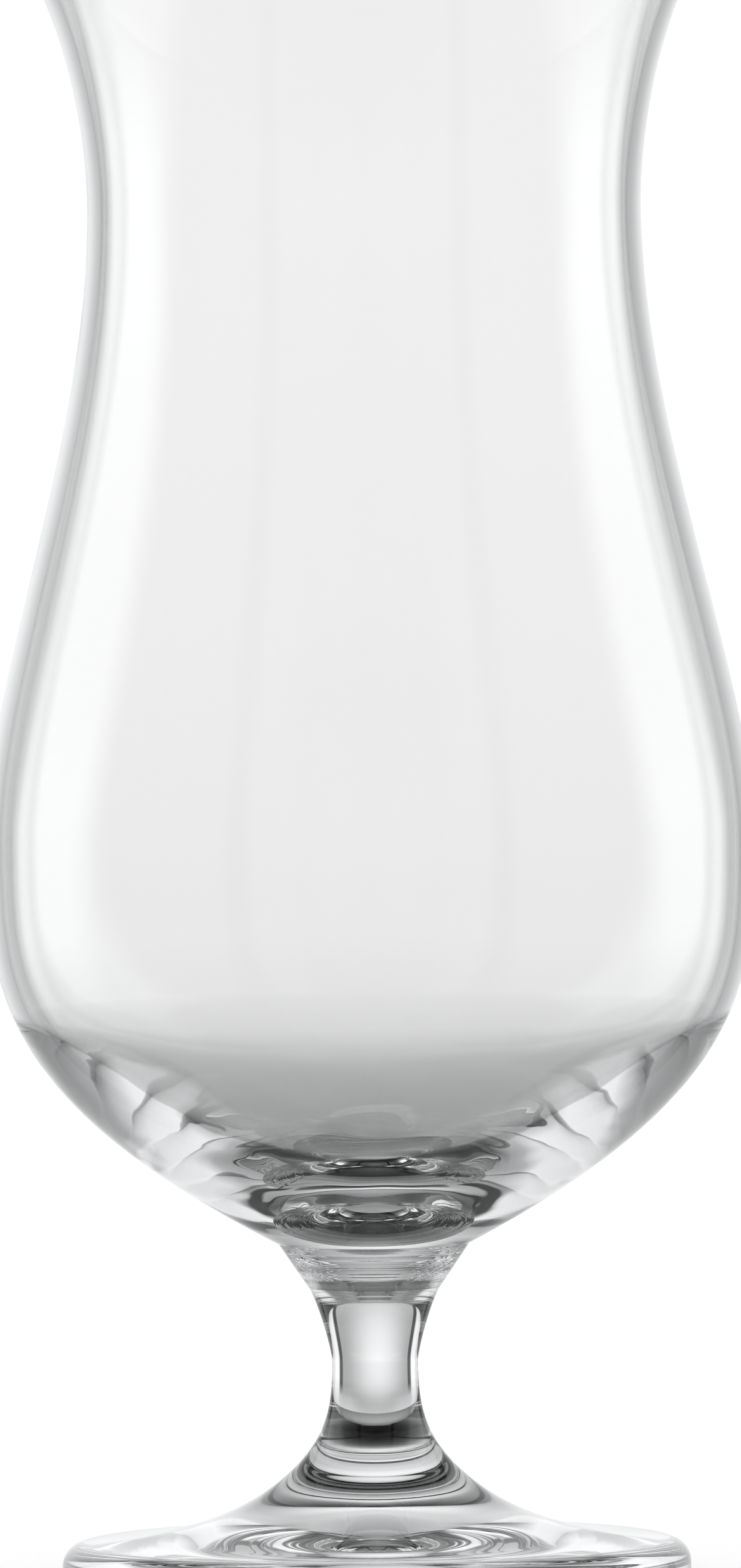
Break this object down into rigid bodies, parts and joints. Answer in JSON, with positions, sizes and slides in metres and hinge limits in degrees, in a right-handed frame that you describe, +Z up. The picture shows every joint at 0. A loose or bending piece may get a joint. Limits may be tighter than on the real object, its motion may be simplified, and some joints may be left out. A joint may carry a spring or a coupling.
{
  "type": "hurricane glass",
  "caption": "Footed cocktail glass with a pear-shaped bowl that narrows to a waist and flares to the rim, on a short solid stem and a round foot.",
  "frame": {"origin": "on the axis at the level of the ring that rests on the table", "axes": "+Z up along the glass's axis; the glass is round, so X and Y are free"},
  "size_m": [0.082, 0.082, 0.182],
  "materials": {
    "bowl": "clear fire-polished glass",
    "collar": "clear glass",
    "stem": "clear drawn glass",
    "foot": "clear pressed glass"
  },
  "bodies": {
    "root": {"bowl": "bowl", "collar": "collar", "stem": "stem", "foot": "foot"}
  },
  "joints": []
}
